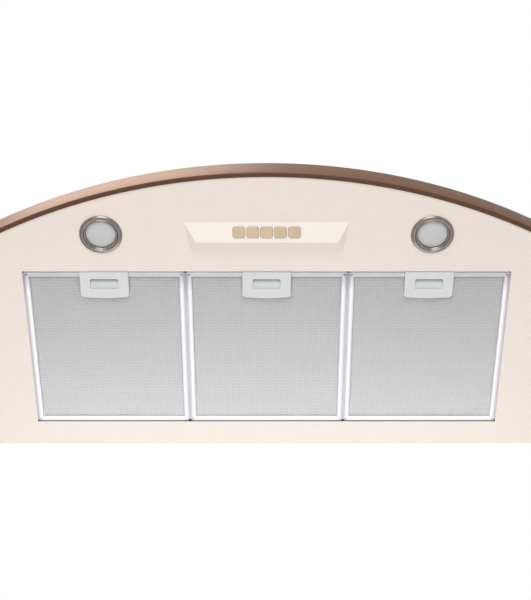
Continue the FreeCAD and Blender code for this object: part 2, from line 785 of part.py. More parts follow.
def controls():
    """Wedge-shaped housing, five push buttons and the bank of switches behind them."""
    holes = new_body("button_holes")
    sketch = new_sketch(holes, "XY", "-8")
    for index in range(5):
        middle = button_place(index)
        side = "(button_wide / 2 + button_play)"
        deep = "(button_deep / 2 + button_play)"
        rounded(sketch, f"{middle} - {side}", f"-{deep}", f"{middle} + {side}", deep, "button_corner")
    grow(holes, "Pad", sketch, "12")
    on_face(holes)
    posts = []
    for side in SIDES.values():
        post = doc.addObject("Part::Cylinder", "post")
        post.setExpression("Radius", bound("post_radius"))
        post.setExpression("Height", bound("bank_front - control_wall + 0.5"))
        posts.append(on_face(post, f"{side} * post_place", "bank_front"))
    shell = cut("control_shell", wedge("control_outer", "0"), wedge("control_inner", "control_wall"), holes)
    housing = joined("control_housing", shell, *posts)
    node(housing)

    for index in range(5):
        body = new_body(f"button_{index + 1}")
        cap = new_sketch(body, "XY", "-button_skirt")
        rounded(cap, "-button_wide / 2", "-button_deep / 2", "button_wide / 2", "button_deep / 2",
                "button_corner")
        grow(body, "Pad", cap, "button_skirt + button_proud")
        top = number("button_proud")
        round_edges(body, "button_edge", lambda edge, top=top: abs(edge.BoundBox.ZMin - top) < 0.01)
        stem = new_sketch(body, "XY", "-stem_reach")
        rectangle(stem, "-stem_wide / 2", "-stem_wide / 2", "stem_wide / 2", "stem_wide / 2")
        grow(body, "Pad", stem, "stem_reach - button_skirt + 0.5")
        node(on_face(body, button_place(index)))

    bank = new_body("switch_bank")
    block = new_sketch(bank, "XY", "-bank_back")
    rectangle(block, "-bank_wide / 2", "-bank_deep / 2", "bank_wide / 2", "bank_deep / 2")
    grow(bank, "Pad", block, "bank_back - bank_front")
    wells = new_sketch(bank, "XY", "-bank_front")
    for index in range(5):
        middle = button_place(index)
        rectangle(wells, f"{middle} - well_wide / 2", "-well_wide / 2", f"{middle} + well_wide / 2",
                  "well_wide / 2")
    grow(bank, "Pocket", wells, "stem_reach - bank_front + 4.5")
    node(on_face(bank))


# ---------------------------------------------------------------- blower
def scroll_points(shrink):
    """The scroll in the Y-Z plane: a straight outlet and three tangent arcs of growing radius."""
    y1 = "(scroll_centre_y + scroll_growth / 2)"
    y2 = "(scroll_centre_y - scroll_growth / 2)"
    z1 = "(scroll_centre_z - scroll_growth / 2)"
    z3 = "(scroll_centre_z + scroll_growth / 2)"
    radii = [f"(scroll_start + {turn} * scroll_growth - {shrink})" for turn in range(3)]
    points = [
        (f"{y2} - {radii[2]}", "-skin_thick"), (f"{y2} - {radii[2]}", z3),
        (y2, f"{z3} - {radii[2]}"), (f"{y1} + {radii[0]}", z1), (y1, f"{z1} + {radii[0]}"),
        (y1, "-skin_thick"),
    ]
    if shrink != "0":
        points[4] = (f"{y1} - {shrink}", f"{z1} + {radii[0]}")
        points[5] = (f"{y1} - {shrink}", "-skin_thick")
        points.insert(4, (y1, f"{z1} + {radii[0]}"))
    return points, {1: (radii[2], 1), 2: (radii[1], 1), 3: (radii[0], 1)}


def blower_housing():
    """Wrapped sheet between two flat sides; each side has a round inlet and a top flange."""
    wrap = new_body("scroll_wrap")
    outer = new_sketch(wrap, "YZ")
    outline(outer, *scroll_points("0"))
    grow(wrap, "Pad", outer, "2 * scroll_half", both_ways=True)
    inner = new_sketch(wrap, "YZ")
    outline(inner, *scroll_points("plate_thick"))
    grow(wrap, "Pocket", inner, "2 * scroll_half + 2", both_ways=True)
    node(wrap)
    for name, side in SIDES.items():
        body = new_body(f"scroll_side_{name}")
        level = "scroll_half" if side > 0 else "-scroll_half - plate_thick"
        sketch = new_sketch(body, "YZ", level)
        outline(sketch, *scroll_points("0"))
        circle(sketch, "scroll_centre_y", "scroll_centre_z", "inlet_radius")
        grow(body, "Pad", sketch, "plate_thick")
        flange = new_sketch(body, "XY", "-skin_thick - plate_thick")
        near = f"{side} * scroll_half"
        far = f"{side} * (scroll_half + flange_reach)"
        low, high = (near, far) if side > 0 else (far, near)
        rectangle(flange, low, "-flange_long / 2", high, "flange_long / 2")
        screw_holes(flange, flange_screw_spots(side))
        grow(body, "Pad", flange, "plate_thick")
        node(body)


def impeller():
    """Double-inlet squirrel-cage wheel: hub plate, boss, curved blades and two end rings."""
    body = new_body("impeller")
    plate = new_sketch(body, "YZ")
    circle(plate, "0", "0", "wheel_radius")
    circle(plate, "0", "0", "shaft_radius")
    grow(body, "Pad", plate, "wheel_ring", both_ways=True)
    boss = new_sketch(body, "YZ")
    circle(boss, "0", "0", "boss_radius")
    circle(boss, "0", "0", "shaft_radius")
    grow(body, "Pad", boss, "boss_long", both_ways=True)
    for level in ("-wheel_half", "wheel_half - wheel_ring"):
        ring = new_sketch(body, "YZ", level)
        circle(ring, "0", "0", "wheel_radius")
        circle(ring, "0", "0", "blade_inner")
        grow(body, "Pad", ring, "wheel_ring")
    blade = new_sketch(body, "YZ")
    points = [("blade_inner + 0.4", "-2.2"), ("wheel_radius - 0.7", "1.6"), ("wheel_radius - 0.7", "2.6"),
              ("blade_inner + 0.4", "-1.2")]
    outline(blade, points, {0: ("14", 1), 2: ("13", -1)})
    vane = grow(body, "Pad", blade, "2 * wheel_half - wheel_ring", both_ways=True)
    polar(body, vane, int(number("blade_count")))
    return node(place(body, "0", "scroll_centre_y", "scroll_centre_z"))


def motor_parts():
    """Motor beside the right inlet, held by a three-legged bracket, with the shaft through it."""
    along = V(1, 0, 0)
    axis_y, axis_z = "scroll_centre_y", "scroll_centre_z"
    node(rod("motor_shaft", ("shaft_start", axis_y, axis_z), "shaft_radius", "shaft_long", along))
    case = new_body("motor")
    shell = new_sketch(case, "YZ", "motor_start")
    circle(shell, "0", "0", "motor_radius")
    circle(shell, "0", "0", "shaft_radius + shaft_play")
    grow(case, "Pad", shell, "motor_end - motor_start")
    for level in ("motor_start - bearing_long", "motor_end"):
        bearing = new_sketch(case, "YZ", level)
        circle(bearing, "0", "0", "bearing_radius")
        circle(bearing, "0", "0", "shaft_radius + shaft_play")
        grow(case, "Pad", bearing, "bearing_long")
    far = number("motor_radius")
    round_edges(case, "motor_edge", lambda edge: abs(getattr(edge.Curve, "Radius", 0) - far) < 0.01
                and edge.Closed)
    node(place(case, "0", axis_y, axis_z))
    bracket = new_body("motor_bracket")
    clamp = new_sketch(bracket, "YZ", "motor_start + bracket_start")
    circle(clamp, "0", "0", "motor_radius + bracket_thick")
    circle(clamp, "0", "0", "motor_radius + 0.1")
    grow(bracket, "Pad", clamp, "bracket_wide")
    bracket_end = "(motor_start + bracket_start + bracket_wide)"
    leg = new_sketch(bracket, "YZ", "scroll_half + plate_thick")
    rectangle(leg, "-leg_wide / 2", "-leg_radius - bracket_thick", "leg_wide / 2", "-leg_radius")
    upright = grow(bracket, "Pad", leg, f"{bracket_end} - scroll_half - plate_thick")
    polar(bracket, upright, 3)
    arm = new_sketch(bracket, "YZ", f"{bracket_end} - bracket_thick")
    rectangle(arm, "-leg_wide / 2", "-leg_radius - 2", "leg_wide / 2", "-motor_radius - 1.5")
    spoke = grow(bracket, "Pad", arm, "bracket_thick")
    polar(bracket, spoke, 3)
    node(place(bracket, "0", axis_y, axis_z))


# ---------------------------------------------------------------- duct collar and damper
def duct_parts():
    """Flanged collar with a ledge inside, and two flaps that hang on one rod across it."""
    inside = "(collar_radius - collar_wall)"
    collar = turned("duct_collar", [
        (inside, "0"), ("collar_flange", "0"), ("collar_flange", "flange_thick"),
        ("collar_radius", "flange_thick"), ("collar_radius", "collar_tall"), (inside, "collar_tall"),
        (inside, "ledge_level + collar_wall"), (f"{inside} - ledge_wide", "ledge_level + collar_wall"),
        (f"{inside} - ledge_wide", "ledge_level"), (inside, "ledge_level")])
    bore = new_sketch(collar, "YZ")
    circle(bore, "0", "rod_level", "rod_radius")
    grow(collar, "Pocket", bore, "2 * collar_radius + 4", both_ways=True)
    holes = new_sketch(collar)
    screw_holes(holes, collar_screw_spots())
    grow(collar, "Pocket", holes, "2 * flange_thick", backwards=True)
    node(collar)
    node(rod("damper_rod", ("-collar_radius", "0", "rod_level"), "rod_radius", "2 * collar_radius",
             V(1, 0, 0)))
    low = "ledge_level + 1.5"
    for name, side in (("front", -1), ("rear", 1)):
        body = new_body(f"damper_flap_{name}")
        radius = f"({inside} - flap_play)"
        edge_y = f"{side} * (knuckle_radius + 0.6)"
        half = f"sqrt({radius}^2 - (knuckle_radius + 0.6)^2)"
        leaf = new_sketch(body, "XY", low)
        points = [(f"-{half}", edge_y), ("0", f"{side} * {radius}"), (half, edge_y)]
        outline(leaf, points, {0: (radius, -side), 1: (radius, -side)})
        grow(body, "Pad", leaf, "flap_thick")
        web = new_sketch(body, "XY", low)
        starts = [f"({across} * knuckle_{name} - knuckle_long / 2)" for across in (-1, 1)]
        near, far = ("-5", "-0.4") if side < 0 else ("0.4", "5")
        for start in starts:
            rectangle(web, start, near, f"{start} + knuckle_long", far)
        grow(body, "Pad", web, "flap_thick")
        for start in starts:
            eye = new_sketch(body, "YZ", start)
            circle(eye, "0", "rod_level", "knuckle_radius")
            grow(body, "Pad", eye, "knuckle_long")
        hole = new_sketch(body, "YZ")
        circle(hole, "0", "rod_level", "rod_radius + 0.08")
        grow(body, "Pocket", hole, "2 * collar_radius", both_ways=True)
        node(body)


# ---------------------------------------------------------------- fasteners and electrics
def pan_screw(spot, reach, axis):
    """A pan-head screw whose head stands on spot and whose shank points along axis."""
    shank = rod("shank", spot, "screw_radius", reach, axis)
    head = rod("head", spot, "screw_head", "screw_head_tall", axis * -1)
    return joined("screw", shank, head)


def fasteners():
    """The pan-head screws of the duct collar and of the blower's flanges, all alike."""
    screws = []
    for x, y in collar_screw_spots():
        screws.append(pan_screw((x, y, "flange_thick"), "screw_reach", V(0, 0, -1)))
    for side in SIDES.values():
        for x, y in flange_screw_spots(side):
            spot = (x, y, "-skin_thick - plate_thick")
            screws.append(pan_screw(spot, "skin_thick + plate_thick", V(0, 0, 1)))
    node(group("pan_head_screws", screws))


def electrics():
    """Junction box with its cover, terminals and cable gland, the lamps' transformer and the capacitor."""
    low = ("box_place_x", "box_place_y", "-skin_thick - box_tall")
    inner_low = ("box_place_x + box_wall", "box_place_y + box_wall", low[2])
    middle_x, middle_y = "box_place_x + box_wide / 2", "box_place_y + box_deep / 2"
    node(cut("junction_box", box("box_outer", low, ("box_wide", "box_deep", "box_tall")),
             box("box_inner", inner_low,
                 ("box_wide - 2 * box_wall", "box_deep - 2 * box_wall", "box_tall - box_wall")),
             rod("box_hole", (middle_x, middle_y, "-5"), "gland_radius + 0.1", "6")))
    node(box("junction_cover", ("box_place_x - 1", "box_place_y - 1", f"{low[2]} - box_wall"),
             ("box_wide + 2", "box_deep + 2", "box_wall")))
    node(box("terminal_block",
             ("box_place_x + 6", "box_place_y + 8", "-skin_thick - box_wall - terminal_tall"),
             ("terminal_wide", "terminal_deep", "terminal_tall")))
    gland = turned("cable_gland", [
        ("gland_bore", "-14"), ("gland_radius", "-14"), ("gland_radius", "0"), ("gland_rim", "0"),
        ("gland_rim", "2.5"), ("gland_rim - 2", "4"), ("gland_bore", "4")])
    node(place(gland, middle_x, middle_y, "0"))
    node(box("lamp_transformer", ("-280", "76", "-skin_thick - transformer_tall"),
             ("transformer_wide", "transformer_deep", "transformer_tall")))
    node(rod("run_capacitor", ("120", "132", "-skin_thick - capacitor_radius - 1"), "capacitor_radius",
             "capacitor_long", V(1, 0, 0)))


def lead(label, points):
    """A round lead along straight runs joined by tangent arcs, as large as the runs allow."""
    corners = [V(*(number(value) for value in point)) for point in points]
    runs = [(end - start).Length for start, end in zip(corners, corners[1:])]
    edges = []
    start = corners[0]
    for index in range(1, len(corners) - 1):
        before = (corners[index - 1] - corners[index]).normalize()
        after = (corners[index + 1] - corners[index]).normalize()
        turn = math.pi - before.getAngle(after)
        reach = 0.45 * min(runs[index - 1], runs[index])
        radius = reach / math.tan(turn / 2)
        inward = (before + after).normalize()
        middle = corners[index] + inward * (radius / math.cos(turn / 2) - radius)
        first = corners[index] + before * reach
        last = corners[index] + after * reach
        edges.append(Part.LineSegment(start, first).toShape())
        edges.append(Part.Arc(first, middle, last).toShape())
        print(f"{label}: bend {index} radius {radius:.0f} mm")
        start = last
    edges.append(Part.LineSegment(start, corners[-1]).toShape())
    path = Part.Wire(edges)
    radius = number("lead_radius")
    section = Part.Wire(Part.Circle(corners[0], corners[1] - corners[0], radius).toShape())
    shape = path.makePipeShell([section], True, False)
    wanted = math.pi * radius**2 * path.Length
    if abs(shape.Volume / wanted - 1) > 0.01:
        raise RuntimeError(f"{label}: the tube's volume is wrong")
    thing = doc.addObject("Part::Feature", label)
    thing.Shape = shape
    thing.Placement = FreeCAD.Placement()
    return node(thing)


def leads():
    """The leads between the switches, lamps, motor, transformer and junction box."""
    bank_y = f"({CONTROL_FRONT} + ridge_back / 2 + 8)"
    can_top = f"({PLATE_LOW} + can_tall)"
    box_side = "(box_place_x + box_wide)"
    lead("switch_lead", [
        ("bank_wide / 2 + 0.1", bank_y, "-152"), ("80", bank_y, "-152"), ("125", "-222", "-138"),
        ("190", "-208", "-126"), ("270", "-202", "-120"), ("360", "-198", "-118"),
        ("side_run - 16", "-175", "-114"), ("side_run", "-130", "-110"), ("side_run", "-40", "-109.9"),
        ("side_run - 4", "40", "-96"), ("400", "96", "-60"), ("335", "112", "-30"),
        (box_side, "112", "-30")])
    lead("lamp_lead", [
        ("-lamp_place - 9", LAMP_Y, can_top), ("-lamp_place - 9", LAMP_Y, f"{can_top} + 20"),
        ("-300", "-226", "-106"), ("-360", "-206", "-106"), ("-side_run + 16", "-175", "-107"),
        ("-side_run", "-130", "-110"), ("-side_run", "-40", "-109.9"), ("-side_run + 4", "40", "-96"),
        ("-400", "90", "-58"), ("-330", "99", "-18"), ("-280", "99", "-18")])
    lead("lamp_link_lead", [
        ("-lamp_place + 9", LAMP_Y, can_top), ("-lamp_place + 9", LAMP_Y, f"{can_top} + 20"),
        ("-190", "-222", "-100"), ("-100", "-214", "-96"), ("0", "-212", "-95"), ("100", "-214", "-96"),
        ("190", "-222", "-100"), ("lamp_place - 9", LAMP_Y, f"{can_top} + 20"),
        ("lamp_place - 9", LAMP_Y, can_top)])
    lead("motor_lead", [
        ("motor_end", "scroll_centre_y + 18", "scroll_centre_z + 16"),
        ("motor_end + 20", "scroll_centre_y + 18", "scroll_centre_z + 16"), ("165", "86", "-36"),
        ("box_place_x", "86", "-36")])
    lead("transformer_lead", [
        ("-190", "112", "-14"), ("-120", "112", "-14"), ("-40", "108", "-12"), ("40", "108", "-12"),
        ("130", "112", "-14"), ("box_place_x", "112", "-14")])


def lead_clips():
    """Saddle blocks on the side walls, each with a bore for its lead."""
    clips = []
    for side in SIDES.values():
        for along in (-100, -70):
            left = "side_run - 4" if side > 0 else "4 - side_run - clip_wide"
            block = box("clip_block", (left, f"{along} - clip_long / 2", "-110 - clip_long / 2"),
                        ("clip_wide", "clip_long", "clip_long"))
            bore = rod("clip_bore", (f"{side} * side_run", f"{along} - clip_long / 2 - 1", "-110"),
                       "lead_radius + 0.4", "clip_long + 2", V(0, 1, 0))
            clips.append(cut("clip", block, bore))
    node(group("lead_clips", clips))


canopy()
top_plate()
back_panel()
underside_panel()
rails()
for filter_name, filter_step in FILTERS.items():
    filter_parts(filter_name, filter_step)
for lamp_name, lamp_side in SIDES.items():
    lamp(lamp_name, lamp_side)
controls()
blower_housing()
impeller()
motor_parts()
duct_parts()
fasteners()
electrics()
leads()
lead_clips()
doc.recompute()

for thing in doc.Objects:
    if "Invalid" in thing.State or "Error" in thing.State:
        raise RuntimeError(f"{thing.Label}: {thing.State}")
for thing in nodes:
    if thing.Shape.isNull() or not thing.Shape.isValid():
        raise RuntimeError(f"{thing.Label}: the shape is not valid")

os.makedirs("parts", exist_ok=True)
for thing in nodes:
    thing.Shape.exportStep(f"parts/{thing.Label}.step")
    print(thing.Label, len(thing.Shape.Solids), round(thing.Shape.Volume))
print(len(nodes), "sub-parts")
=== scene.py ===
"""Looks of the under-cabinet range hood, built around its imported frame. Metres, +Z up, front -Y."""

import json
import math

import bmesh
import bpy
import numpy as np
from mathutils import Matrix, Vector


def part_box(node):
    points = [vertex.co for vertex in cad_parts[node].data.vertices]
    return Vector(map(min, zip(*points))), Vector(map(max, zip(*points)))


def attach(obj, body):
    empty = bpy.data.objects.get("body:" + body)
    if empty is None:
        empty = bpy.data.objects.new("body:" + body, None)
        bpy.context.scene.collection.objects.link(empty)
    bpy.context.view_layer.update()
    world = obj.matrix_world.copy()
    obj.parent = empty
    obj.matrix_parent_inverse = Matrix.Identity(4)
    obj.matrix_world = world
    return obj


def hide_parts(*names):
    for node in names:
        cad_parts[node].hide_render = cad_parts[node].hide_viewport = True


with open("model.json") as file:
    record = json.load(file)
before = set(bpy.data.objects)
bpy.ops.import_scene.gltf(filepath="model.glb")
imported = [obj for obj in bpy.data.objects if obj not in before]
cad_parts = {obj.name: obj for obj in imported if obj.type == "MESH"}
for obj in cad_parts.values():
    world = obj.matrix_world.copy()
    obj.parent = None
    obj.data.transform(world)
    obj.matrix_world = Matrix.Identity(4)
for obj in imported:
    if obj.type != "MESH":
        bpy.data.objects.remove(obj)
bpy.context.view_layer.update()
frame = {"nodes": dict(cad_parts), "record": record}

MM = 0.001
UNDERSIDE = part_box("underside_panel")[0].z
OPENING_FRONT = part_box("filter_frame_centre")[0].y


# ---------------------------------------------------------------- materials
# A grain is a noise scale: about that many grains to a metre, drawn out fifty times by brushing.
ROUGHNESS_SWING = 0.07
BRUSHED_X = (0.02, 1, 1)
BRUSHED_Y = (1, 0.02, 1)
BRUSHED_Z = (1, 1, 0.02)
MATERIALS = {}


def new_material(name):
    """An empty node material, kept in MATERIALS under its name; gives its nodes and shader."""
    material = bpy.data.materials.new(name)
    material.use_nodes = True
    tree = material.node_tree
    tree.nodes.clear()
    output = tree.nodes.new("ShaderNodeOutputMaterial")
    shader = tree.nodes.new("ShaderNodeBsdfPrincipled")
    tree.links.new(shader.outputs["BSDF"], output.inputs["Surface"])
    MATERIALS[name] = material
    return tree, shader


def coordinates(tree, stretch=(1, 1, 1)):
    """The object's own coordinates, in metres, scaled per axis."""
    source = tree.nodes.new("ShaderNodeTexCoord")
    mapping = tree.nodes.new("ShaderNodeMapping")
    mapping.inputs["Scale"].default_value = stretch
    tree.links.new(source.outputs["Object"], mapping.inputs["Vector"])
    return mapping.outputs["Vector"]


def noise(tree, vector, scale, detail):
    """A noise factor from 0 to 1."""
    node = tree.nodes.new("ShaderNodeTexNoise")
    node.inputs["Scale"].default_value = scale
    node.inputs["Detail"].default_value = detail
    tree.links.new(vector, node.inputs["Vector"])
    return node.outputs["Fac"]


def ramp(tree, factor, stops):
    """A colour ramp from two (position, colour) pairs."""
    node = tree.nodes.new("ShaderNodeValToRGB")
    for element, (position, colour) in zip(node.color_ramp.elements, stops):
        element.position = position
        element.color = (*colour, 1)
    tree.links.new(factor, node.inputs["Fac"])
    return node.outputs["Color"]


def spread(tree, factor, low, high):
    """Maps a 0 to 1 factor onto a range."""
    node = tree.nodes.new("ShaderNodeMapRange")
    node.inputs["To Min"].default_value = low
    node.inputs["To Max"].default_value = high
    tree.links.new(factor, node.inputs["Value"])
    return node.outputs["Result"]


def bump(tree, shader, height, distance, strength=1.0):
    """A relief on the shader's normal."""
    node = tree.nodes.new("ShaderNodeBump")
    node.inputs["Distance"].default_value = distance
    node.inputs["Strength"].default_value = strength
    tree.links.new(height, node.inputs["Height"])
    tree.links.new(node.outputs["Normal"], shader.inputs["Normal"])


def linear(red, green, blue):
    """A display colour, 0 to 255, as the linear colour that shaders take."""
    def channel(value):
        value /= 255
        return value / 12.92 if value <= 0.04045 else ((value + 0.055) / 1.055) ** 2.4
    return (channel(red), channel(green), channel(blue))


def shade(colour, factor):
    """A linear colour made lighter or darker."""
    return tuple(min(1.0, value * factor) for value in colour)


def surface(tree, shader, vector, grain, rough, metal, relief):
    """Fine uneven roughness with a relief to match, and the share of metal."""
    fine = noise(tree, vector, grain, 4.0)
    uneven = spread(tree, fine, rough - ROUGHNESS_SWING, rough + ROUGHNESS_SWING)
    tree.links.new(uneven, shader.inputs["Roughness"])
    shader.inputs["Metallic"].default_value = metal
    bump(tree, shader, fine, relief)


def finish_material(name, colour, rough, grain, vary, relief=0.02 * MM, metal=0.0, coat=0.0,
                    coat_rough=0.1, stretch=(1, 1, 1)):
    """A surface with soft colour variation, uneven roughness and a fine relief."""
    tree, shader = new_material(name)
    vector = coordinates(tree, stretch)
    soft = noise(tree, vector, grain * 0.06, 2.0)
    tones = ramp(tree, soft, [(0.3, shade(colour, 1 - vary)), (0.7, shade(colour, 1 + vary))])
    tree.links.new(tones, shader.inputs["Base Color"])
    surface(tree, shader, vector, grain, rough, metal, relief)
    shader.inputs["Coat Weight"].default_value = coat
    shader.inputs["Coat Roughness"].default_value = coat_rough


def brushed_material(name, colour, rough, stretch=BRUSHED_X, metal=1.0, vary=0.08):
    """Metal with fine brush lines along one axis."""
    finish_material(name, colour, rough, 1500, vary, 0.01 * MM, metal, stretch=stretch)


def painted_shade_material(name, front, rear, reach, metal, rough, grain, relief, stretch=(1, 1, 1)):
    """Filter metal with painted shade: duller at the front edge of the opening and brighter over a
    reach behind it.
    """
    tree, shader = new_material(name)
    parts = tree.nodes.new("ShaderNodeSeparateXYZ")
    tree.links.new(coordinates(tree), parts.inputs["Vector"])
    depth = tree.nodes.new("ShaderNodeMapRange")
    depth.inputs["From Min"].default_value = OPENING_FRONT
    depth.inputs["From Max"].default_value = OPENING_FRONT + reach
    tree.links.new(parts.outputs["Y"], depth.inputs["Value"])
    # painted shade: the tone runs from the shaded front colour at the opening's front edge to the lit
    # rear colour over the reach
    tones = ramp(tree, depth.outputs["Result"], [(0.1, front), (1.0, rear)])
    tree.links.new(tones, shader.inputs["Base Color"])
    surface(tree, shader, coordinates(tree, stretch), grain, rough, metal, relief)


def glass_material(name, colour, rough, transmission):
    """Glass, clear or frosted, with faintly uneven roughness."""
    tree, shader = new_material(name)
    fine = noise(tree, coordinates(tree), 900, 3.0)
    tones = ramp(tree, fine, [(0.2, shade(colour, 0.97)), (0.8, shade(colour, 1.02))])
    tree.links.new(tones, shader.inputs["Base Color"])
    tree.links.new(spread(tree, fine, rough * 0.8, rough * 1.2), shader.inputs["Roughness"])
    shader.inputs["Transmission Weight"].default_value = transmission
    shader.inputs["IOR"].default_value = 1.47
    bump(tree, shader, fine, 0.03 * MM, 0.4)


# canopy, panel and rails
finish_material("cream_paint", linear(240, 229, 220), 0.42, 700, 0.012, 0.03 * MM, coat=0.15,
                coat_rough=0.25)
finish_material("zinc_sheet", linear(176, 180, 184), 0.42, 60, 0.10, 0.01 * MM, metal=0.9)
brushed_material("bronze_trim", linear(134, 101, 79), 0.38, metal=0.5, vary=0.06)
# painted shade: a darker, less metallic copy of the bronze for the rail's underside
brushed_material("bronze_underside_painted_shade", linear(92, 58, 36), 0.6, metal=0.1, vary=0.06)

# filters
# painted shade: the backing, frame metal, lip and wires are painted darker at the opening's front edge
# and lighter behind it
painted_shade_material("filter_backing", linear(201, 201, 203), linear(220, 220, 222),
                reach=290 * MM, metal=0.1, rough=0.6, grain=900, relief=0.2 * MM)
painted_shade_material("filter_aluminium", linear(203, 202, 207), linear(252, 251, 254),
                reach=35 * MM, metal=0.5, rough=0.4, grain=1500, relief=0.01 * MM,
                stretch=BRUSHED_Y)
# painted shade: a darker copy of the frame metal, for the flat outer lip of each frame
painted_shade_material("filter_lip_painted_shade", linear(172, 171, 178), linear(204, 204, 213),
                reach=60 * MM, metal=0.5, rough=0.45, grain=1500, relief=0.01 * MM,
                stretch=BRUSHED_Y)
painted_shade_material("filter_mesh", linear(231, 231, 233), linear(250, 250, 252),
                reach=290 * MM, metal=0.45, rough=0.4, grain=900, relief=0.1 * MM)
finish_material("handle_plastic", linear(219, 221, 223), 0.5, 1600, 0.012, 0.04 * MM)
finish_material("latch_plastic", linear(214, 217, 218), 0.5, 1600, 0.012, 0.04 * MM)
# painted shade: a darker copy of the latch plastic, for the deep front of the finger slope
finish_material("latch_painted_shade", linear(168, 170, 169), 0.6, 1600, 0.012, 0.04 * MM)

# lamps
finish_material("chrome_ring", linear(152, 145, 140), 0.24, 400, 0.03, 0.004 * MM, metal=1.0)
glass_material("frosted_glass", linear(229, 231, 231), 0.55, 0.3)
glass_material("clear_glass", linear(240, 243, 244), 0.05, 0.9)
brushed_material("lamp_can_aluminium", linear(214, 214, 216), 0.35, BRUSHED_Z)
finish_material("lamp_ceramic", linear(236, 232, 222), 0.6, 1200, 0.02)

# controls
finish_material("cream_plastic", linear(244, 237, 231), 0.38, 1300, 0.01, coat=0.2,
                coat_rough=0.2)
finish_material("gold_buttons", linear(212, 187, 156), 0.34, 900, 0.05, metal=0.12, coat=0.3,
                coat_rough=0.15)
finish_material("black_plastic", linear(48, 48, 50), 0.55, 1100, 0.08, 0.04 * MM)

# blower, damper and wiring
brushed_material("steel", linear(196, 197, 200), 0.28)
finish_material("motor_paint", linear(64, 68, 72), 0.4, 800, 0.06, 0.04 * MM, metal=0.4)
brushed_material("flap_aluminium", linear(214, 216, 219), 0.36)
finish_material("white_plastic", linear(232, 232, 228), 0.4, 1300, 0.015)
finish_material("gland_rubber", linear(42, 42, 44), 0.75, 1500, 0.08, 0.05 * MM)
finish_material("lead_plastic", linear(226, 226, 222), 0.45, 1400, 0.02)

SLOTS = {entry["node"]: entry["material_slot"] for entry in frame["record"]["subparts"]}


def dress(thing, slot_name):
    """Gives an object one material, on every slot it has."""
    if not thing.material_slots:
        thing.data.materials.append(MATERIALS[slot_name])
    for holder in thing.material_slots:
        holder.material = MATERIALS[slot_name]


for node_name, node_object in frame["nodes"].items():
    dress(node_object, SLOTS[node_name])


# ---------------------------------------------------------------- mesh helpers
def add_piece(name, mesh, body, slot_name, nodes, place=(0, 0, 0), sharp=35, extra=()):
    """Puts a mesh in the scene as a piece that rides on a body and stands for CAD nodes."""
    mesh.materials.append(MATERIALS[slot_name])
    for other in extra:
        mesh.materials.append(MATERIALS[other])
    mesh.shade_smooth()
    mesh.set_sharp_from_angle(angle=math.radians(sharp))
    piece = bpy.data.objects.new(name, mesh)
    piece.location = place
    bpy.context.scene.collection.objects.link(piece)
    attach(piece, body)
    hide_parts(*nodes)
    return piece


def new_mesh(name, vertices, faces):
    """A mesh with all its faces turned outwards."""
    mesh = bpy.data.meshes.new(name)
    mesh.from_pydata(vertices, [], faces)
    working = bmesh.new()
    working.from_mesh(mesh)
    bmesh.ops.recalc_face_normals(working, faces=working.faces)
    working.to_mesh(mesh)
    working.free()
    return mesh


def round_corner(centre, radius, first, last, steps):
    """Points on an arc from one angle to another, in degrees."""
    points = []
    for index in range(steps + 1):
        angle = math.radians(first + (last - first) * index / steps)
        points.append((centre[0] + radius * math.cos(angle), centre[1] + radius * math.sin(angle)))
    return points


def sweep(name, profile, path):
    """A closed profile of (inward, up) points carried along an open plan path, corners mitred."""
    least_cosine = 0.2
    vertices = []
    for index, (x, y) in enumerate(path):
        before = Vector(path[index - 1]) if index else None
        after = Vector(path[index + 1]) if index + 1 < len(path) else None
        here = Vector((x, y))
        steps = [(here - before).normalized()] if before else []
        steps += [(after - here).normalized()] if after else []
        along = sum(steps, Vector((0, 0))).normalized()
        inward = Vector((-along.y, along.x))
        stretch = 1 / max(least_cosine, abs(Vector((-steps[0].y, steps[0].x)).dot(inward)))
        for reach, level in profile:
            vertices.append((x + inward.x * reach * stretch, y + inward.y * reach * stretch, level))
    count = len(profile)
    faces = []
    for ring in range(len(path) - 1):
        for index in range(count):
            other = (index + 1) % count
            faces.append((ring * count + index, ring * count + other,
                          (ring + 1) * count + other, (ring + 1) * count + index))
    faces.append(tuple(range(count)))
    faces.append(tuple(range((len(path) - 1) * count, len(path) * count)))
    return new_mesh(name, vertices, faces)


def lathe(name, profile, closed=True):
    """A profile of (radius, level) points turned about Z; a point on the axis is one vertex."""
    segments = 96
    working = bmesh.new()
    rings = []
    for radius, level in profile:
        if radius == 0:
            rings.append([working.verts.new((0, 0, level))] * segments)
            continue
        ring = []
        for index in range(segments):
            angle = 2 * math.pi * index / segments
            ring.append(working.verts.new((radius * math.cos(angle), radius * math.sin(angle), level)))
        rings.append(ring)
    pairs = list(zip(rings, rings[1:]))
    if closed:
        pairs.append((rings[-1], rings[0]))
    for low, high in pairs:
        for index in range(segments):
            other = (index + 1) % segments
            corners = []
            for vertex in (low[index], low[other], high[other], high[index]):
                if vertex not in corners:
                    corners.append(vertex)
            if len(corners) > 2:
                working.faces.new(corners)
    bmesh.ops.recalc_face_normals(working, faces=working.faces)
    mesh = bpy.data.meshes.new(name)
    working.to_mesh(mesh)
    working.free()
    return mesh


def prism(lower, upper, start=0):
    """Vertices and faces between two like outlines: both ends, then a face per side of the outline.

    The first vertex has the number start.
    """
    count = len(lower)
    faces = [tuple(range(start, start + count)), tuple(range(start + count, start + 2 * count))]
    for index in range(count):
        other = (index + 1) % count
        faces.append(tuple(start + corner for corner in (index, other, count + other, count + index)))
    return [*lower, *upper], faces


